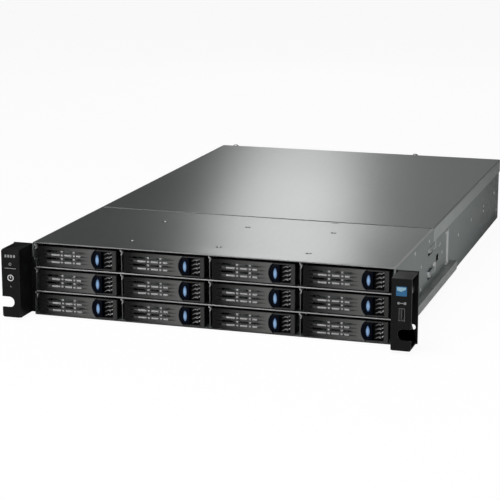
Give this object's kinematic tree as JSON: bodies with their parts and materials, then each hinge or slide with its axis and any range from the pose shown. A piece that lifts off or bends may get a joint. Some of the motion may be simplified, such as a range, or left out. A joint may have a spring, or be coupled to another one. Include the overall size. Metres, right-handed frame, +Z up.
{
  "type": "network attached storage",
  "caption": "Rack-mounted network storage chassis with hot-swap drive carriers, rack ears, sliding power supplies and a lift-off rear cover.",
  "frame": {"origin": "bottom centre of the object's box, on the chassis floor", "axes": "+X to the right seen from the front, +Y from the drive fronts to the rear, +Z up"},
  "size_m": [0.4826, 0.768, 0.0881],
  "materials": {
    "chassis_steel": "satin",
    "cage_steel": "satin",
    "cover_steel": "satin",
    "ear_metal": "satin",
    "screw_steel": "satin",
    "rail_steel": "satin",
    "circuit_board": "satin",
    "board_assembly": "satin",
    "port_steel": "satin",
    "fan_plastic": "matte",
    "rotor_plastic": "satin",
    "supply_steel": "satin",
    "latch_plastic": "satin",
    "button_plastic": "satin",
    "carrier_assembly": "satin",
    "lever_plastic": "satin",
    "release_plastic": "gloss"
  },
  "bodies": {
    "chassis": {"chassis_pan": "chassis_steel", "drive_cage": "cage_steel", "drive_backplane": "circuit_board", "front_cover": "cover_steel", "rack_ear_left": "ear_metal", "rack_ear_right": "ear_metal", "slide_rails": "rail_steel", "mainboard": "board_assembly", "io_ports": "port_steel", "fan_tray": "fan_plastic", "case_screws": "screw_steel"},
    "drive_carrier_1": {"drive_carrier_1": "carrier_assembly"},
    "carrier_lever_1": {"carrier_lever_1": "lever_plastic"},
    "release_button_1": {"release_button_1": "release_plastic"},
    "drive_carrier_2": {"drive_carrier_2": "carrier_assembly"},
    "carrier_lever_2": {"carrier_lever_2": "lever_plastic"},
    "release_button_2": {"release_button_2": "release_plastic"},
    "drive_carrier_3": {"drive_carrier_3": "carrier_assembly"},
    "carrier_lever_3": {"carrier_lever_3": "lever_plastic"},
    "release_button_3": {"release_button_3": "release_plastic"},
    "drive_carrier_4": {"drive_carrier_4": "carrier_assembly"},
    "carrier_lever_4": {"carrier_lever_4": "lever_plastic"},
    "release_button_4": {"release_button_4": "release_plastic"},
    "drive_carrier_5": {"drive_carrier_5": "carrier_assembly"},
    "carrier_lever_5": {"carrier_lever_5": "lever_plastic"},
    "release_button_5": {"release_button_5": "release_plastic"},
    "drive_carrier_6": {"drive_carrier_6": "carrier_assembly"},
    "carrier_lever_6": {"carrier_lever_6": "lever_plastic"},
    "release_button_6": {"release_button_6": "release_plastic"},
    "drive_carrier_7": {"drive_carrier_7": "carrier_assembly"},
    "carrier_lever_7": {"carrier_lever_7": "lever_plastic"},
    "release_button_7": {"release_button_7": "release_plastic"},
    "drive_carrier_8": {"drive_carrier_8": "carrier_assembly"},
    "carrier_lever_8": {"carrier_lever_8": "lever_plastic"},
    "release_button_8": {"release_button_8": "release_plastic"},
    "drive_carrier_9": {"drive_carrier_9": "carrier_assembly"},
    "carrier_lever_9": {"carrier_lever_9": "lever_plastic"},
    "release_button_9": {"release_button_9": "release_plastic"},
    "drive_carrier_10": {"drive_carrier_10": "carrier_assembly"},
    "carrier_lever_10": {"carrier_lever_10": "lever_plastic"},
    "release_button_10": {"release_button_10": "release_plastic"},
    "drive_carrier_11": {"drive_carrier_11": "carrier_assembly"},
    "carrier_lever_11": {"carrier_lever_11": "lever_plastic"},
    "release_button_11": {"release_button_11": "release_plastic"},
    "drive_carrier_12": {"drive_carrier_12": "carrier_assembly"},
    "carrier_lever_12": {"carrier_lever_12": "lever_plastic"},
    "release_button_12": {"release_button_12": "release_plastic"},
    "power_button": {"power_button": "button_plastic"},
    "rack_screw_left": {"rack_screw_left": "screw_steel"},
    "rack_screw_right": {"rack_screw_right": "screw_steel"},
    "fan_rotor_1": {"fan_rotor_1": "rotor_plastic"},
    "fan_rotor_2": {"fan_rotor_2": "rotor_plastic"},
    "fan_rotor_3": {"fan_rotor_3": "rotor_plastic"},
    "power_supply_1": {"power_supply_1": "supply_steel"},
    "supply_latch_1": {"supply_latch_1": "latch_plastic"},
    "power_supply_2": {"power_supply_2": "supply_steel"},
    "supply_latch_2": {"supply_latch_2": "latch_plastic"},
    "rear_cover": {"rear_cover": "cover_steel"},
    "cover_thumbscrew_left": {"cover_thumbscrew_left": "screw_steel"},
    "cover_thumbscrew_right": {"cover_thumbscrew_right": "screw_steel"}
  },
  "joints": [
    {"name": "carrier_slide_1", "type": "slide", "parent": "chassis", "child": "drive_carrier_1", "axis": [0, -1, 0], "range_m": [0, 0.18]},
    {"name": "lever_hinge_1", "type": "hinge", "parent": "drive_carrier_1", "child": "carrier_lever_1", "pos_m": [-0.2058, -0.3475, 0.0711], "axis": [0, 0, -1], "range_deg": [0, 75]},
    {"name": "release_press_1", "type": "slide", "parent": "drive_carrier_1", "child": "release_button_1", "axis": [0, 1, 0], "range_m": [0, 0.0015], "stiffness_N_per_m": 500},
    {"name": "carrier_slide_2", "type": "slide", "parent": "chassis", "child": "drive_carrier_2", "axis": [0, -1, 0], "range_m": [0, 0.18]},
    {"name": "lever_hinge_2", "type": "hinge", "parent": "drive_carrier_2", "child": "carrier_lever_2", "pos_m": [-0.0988, -0.3475, 0.0711], "axis": [0, 0, -1], "range_deg": [0, 75]},
    {"name": "release_press_2", "type": "slide", "parent": "drive_carrier_2", "child": "release_button_2", "axis": [0, 1, 0], "range_m": [0, 0.0015], "stiffness_N_per_m": 500},
    {"name": "carrier_slide_3", "type": "slide", "parent": "chassis", "child": "drive_carrier_3", "axis": [0, -1, 0], "range_m": [0, 0.18]},
    {"name": "lever_hinge_3", "type": "hinge", "parent": "drive_carrier_3", "child": "carrier_lever_3", "pos_m": [0.0082, -0.3475, 0.0711], "axis": [0, 0, -1], "range_deg": [0, 75]},
    {"name": "release_press_3", "type": "slide", "parent": "drive_carrier_3", "child": "release_button_3", "axis": [0, 1, 0], "range_m": [0, 0.0015], "stiffness_N_per_m": 500},
    {"name": "carrier_slide_4", "type": "slide", "parent": "chassis", "child": "drive_carrier_4", "axis": [0, -1, 0], "range_m": [0, 0.18]},
    {"name": "lever_hinge_4", "type": "hinge", "parent": "drive_carrier_4", "child": "carrier_lever_4", "pos_m": [0.1152, -0.3475, 0.0711], "axis": [0, 0, -1], "range_deg": [0, 75]},
    {"name": "release_press_4", "type": "slide", "parent": "drive_carrier_4", "child": "release_button_4", "axis": [0, 1, 0], "range_m": [0, 0.0015], "stiffness_N_per_m": 500},
    {"name": "carrier_slide_5", "type": "slide", "parent": "chassis", "child": "drive_carrier_5", "axis": [0, -1, 0], "range_m": [0, 0.18]},
    {"name": "lever_hinge_5", "type": "hinge", "parent": "drive_carrier_5", "child": "carrier_lever_5", "pos_m": [-0.2058, -0.3475, 0.04215], "axis": [0, 0, -1], "range_deg": [0, 75]},
    {"name": "release_press_5", "type": "slide", "parent": "drive_carrier_5", "child": "release_button_5", "axis": [0, 1, 0], "range_m": [0, 0.0015], "stiffness_N_per_m": 500},
    {"name": "carrier_slide_6", "type": "slide", "parent": "chassis", "child": "drive_carrier_6", "axis": [0, -1, 0], "range_m": [0, 0.18]},
    {"name": "lever_hinge_6", "type": "hinge", "parent": "drive_carrier_6", "child": "carrier_lever_6", "pos_m": [-0.0988, -0.3475, 0.04215], "axis": [0, 0, -1], "range_deg": [0, 75]},
    {"name": "release_press_6", "type": "slide", "parent": "drive_carrier_6", "child": "release_button_6", "axis": [0, 1, 0], "range_m": [0, 0.0015], "stiffness_N_per_m": 500},
    {"name": "carrier_slide_7", "type": "slide", "parent": "chassis", "child": "drive_carrier_7", "axis": [0, -1, 0], "range_m": [0, 0.18]},
    {"name": "lever_hinge_7", "type": "hinge", "parent": "drive_carrier_7", "child": "carrier_lever_7", "pos_m": [0.0082, -0.3475, 0.04215], "axis": [0, 0, -1], "range_deg": [0, 75]},
    {"name": "release_press_7", "type": "slide", "parent": "drive_carrier_7", "child": "release_button_7", "axis": [0, 1, 0], "range_m": [0, 0.0015], "stiffness_N_per_m": 500},
    {"name": "carrier_slide_8", "type": "slide", "parent": "chassis", "child": "drive_carrier_8", "axis": [0, -1, 0], "range_m": [0, 0.18]},
    {"name": "lever_hinge_8", "type": "hinge", "parent": "drive_carrier_8", "child": "carrier_lever_8", "pos_m": [0.1152, -0.3475, 0.04215], "axis": [0, 0, -1], "range_deg": [0, 75]},
    {"name": "release_press_8", "type": "slide", "parent": "drive_carrier_8", "child": "release_button_8", "axis": [0, 1, 0], "range_m": [0, 0.0015], "stiffness_N_per_m": 500},
    {"name": "carrier_slide_9", "type": "slide", "parent": "chassis", "child": "drive_carrier_9", "axis": [0, -1, 0], "range_m": [0, 0.18]},
    {"name": "lever_hinge_9", "type": "hinge", "parent": "drive_carrier_9", "child": "carrier_lever_9", "pos_m": [-0.2058, -0.3475, 0.0132], "axis": [0, 0, -1], "range_deg": [0, 75]},
    {"name": "release_press_9", "type": "slide", "parent": "drive_carrier_9", "child": "release_button_9", "axis": [0, 1, 0], "range_m": [0, 0.0015], "stiffness_N_per_m": 500},
    {"name": "carrier_slide_10", "type": "slide", "parent": "chassis", "child": "drive_carrier_10", "axis": [0, -1, 0], "range_m": [0, 0.18]},
    {"name": "lever_hinge_10", "type": "hinge", "parent": "drive_carrier_10", "child": "carrier_lever_10", "pos_m": [-0.0988, -0.3475, 0.0132], "axis": [0, 0, -1], "range_deg": [0, 75]},
    {"name": "release_press_10", "type": "slide", "parent": "drive_carrier_10", "child": "release_button_10", "axis": [0, 1, 0], "range_m": [0, 0.0015], "stiffness_N_per_m": 500},
    {"name": "carrier_slide_11", "type": "slide", "parent": "chassis", "child": "drive_carrier_11", "axis": [0, -1, 0], "range_m": [0, 0.18]},
    {"name": "lever_hinge_11", "type": "hinge", "parent": "drive_carrier_11", "child": "carrier_lever_11", "pos_m": [0.0082, -0.3475, 0.0132], "axis": [0, 0, -1], "range_deg": [0, 75]},
    {"name": "release_press_11", "type": "slide", "parent": "drive_carrier_11", "child": "release_button_11", "axis": [0, 1, 0], "range_m": [0, 0.0015], "stiffness_N_per_m": 500},
    {"name": "carrier_slide_12", "type": "slide", "parent": "chassis", "child": "drive_carrier_12", "axis": [0, -1, 0], "range_m": [0, 0.18]},
    {"name": "lever_hinge_12", "type": "hinge", "parent": "drive_carrier_12", "child": "carrier_lever_12", "pos_m": [0.1152, -0.3475, 0.0132], "axis": [0, 0, -1], "range_deg": [0, 75]},
    {"name": "release_press_12", "type": "slide", "parent": "drive_carrier_12", "child": "release_button_12", "axis": [0, 1, 0], "range_m": [0, 0.0015], "stiffness_N_per_m": 500},
    {"name": "power_press", "type": "slide", "parent": "chassis", "child": "power_button", "axis": [0, 1, 0], "range_m": [0, 0.001], "stiffness_N_per_m": 500},
    {"name": "rack_screw_turn_left", "type": "hinge", "parent": "chassis", "child": "rack_screw_left", "pos_m": [-0.23255, -0.3495, 0.0659], "axis": [0, -1, 0], "continuous": true},
    {"name": "rack_screw_turn_right", "type": "hinge", "parent": "chassis", "child": "rack_screw_right", "pos_m": [0.23255, -0.3495, 0.0659], "axis": [0, -1, 0], "continuous": true},
    {"name": "fan_spin_1", "type": "hinge", "parent": "chassis", "child": "fan_rotor_1", "pos_m": [-0.135, -0.1055, 0.043], "axis": [0, 1, 0], "continuous": true},
    {"name": "fan_spin_2", "type": "hinge", "parent": "chassis", "child": "fan_rotor_2", "pos_m": [0, -0.1055, 0.043], "axis": [0, 1, 0], "continuous": true},
    {"name": "fan_spin_3", "type": "hinge", "parent": "chassis", "child": "fan_rotor_3", "pos_m": [0.135, -0.1055, 0.043], "axis": [0, 1, 0], "continuous": true},
    {"name": "supply_slide_1", "type": "slide", "parent": "chassis", "child": "power_supply_1", "axis": [0, 1, 0], "range_m": [0, 0.19]},
    {"name": "latch_press_1", "type": "slide", "parent": "power_supply_1", "child": "supply_latch_1", "axis": [1, 0, 0], "range_m": [0, 0.003], "stiffness_N_per_m": 800},
    {"name": "supply_slide_2", "type": "slide", "parent": "chassis", "child": "power_supply_2", "axis": [0, 1, 0], "range_m": [0, 0.19]},
    {"name": "latch_press_2", "type": "slide", "parent": "power_supply_2", "child": "supply_latch_2", "axis": [1, 0, 0], "range_m": [0, 0.003], "stiffness_N_per_m": 800},
    {"name": "cover_lift", "type": "slide", "parent": "chassis", "child": "rear_cover", "axis": [0, 0, 1], "range_m": [0, 0.1]},
    {"name": "cover_screw_turn_left", "type": "hinge", "parent": "rear_cover", "child": "cover_thumbscrew_left", "pos_m": [-0.197, 0.3575, 0.0823], "axis": [0, 1, 0], "continuous": true},
    {"name": "cover_screw_turn_right", "type": "hinge", "parent": "rear_cover", "child": "cover_thumbscrew_right", "pos_m": [0.0865, 0.3575, 0.0823], "axis": [0, 1, 0], "continuous": true}
  ]
}
